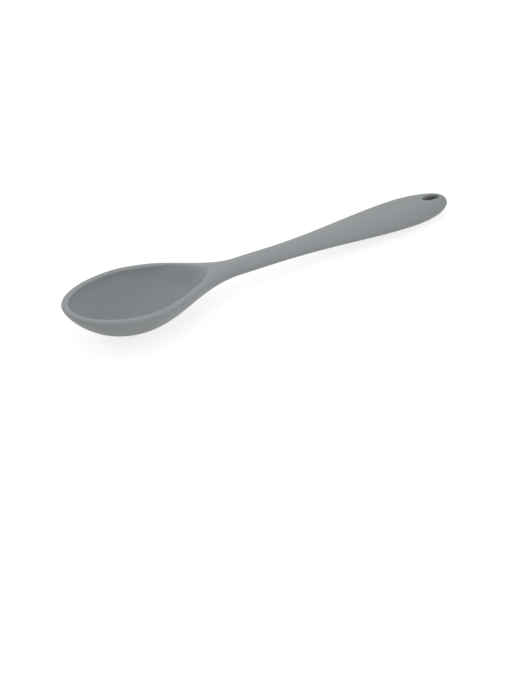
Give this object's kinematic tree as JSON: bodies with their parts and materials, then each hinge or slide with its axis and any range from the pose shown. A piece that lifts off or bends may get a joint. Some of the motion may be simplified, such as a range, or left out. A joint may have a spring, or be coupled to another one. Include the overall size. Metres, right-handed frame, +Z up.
{
  "type": "serving spoon",
  "caption": "Deep-bowled serving spoon of soft silicone moulded over a stiff core, with a rounded rim, a slim neck, a flared flattened grip and an oval hanging hole.",
  "frame": {"origin": "on the table under the middle of the spoon's length and width, as it lies on its belly and heel", "axes": "+X from the bowl's tip to the end of the handle, +Y across the bowl, +Z up out of the bowl"},
  "size_m": [0.28, 0.057, 0.027],
  "materials": {
    "silicone": "matte moulded silicone",
    "nylon": "satin moulded nylon"
  },
  "bodies": {
    "root": {"skin": "silicone", "core": "nylon"}
  },
  "joints": []
}
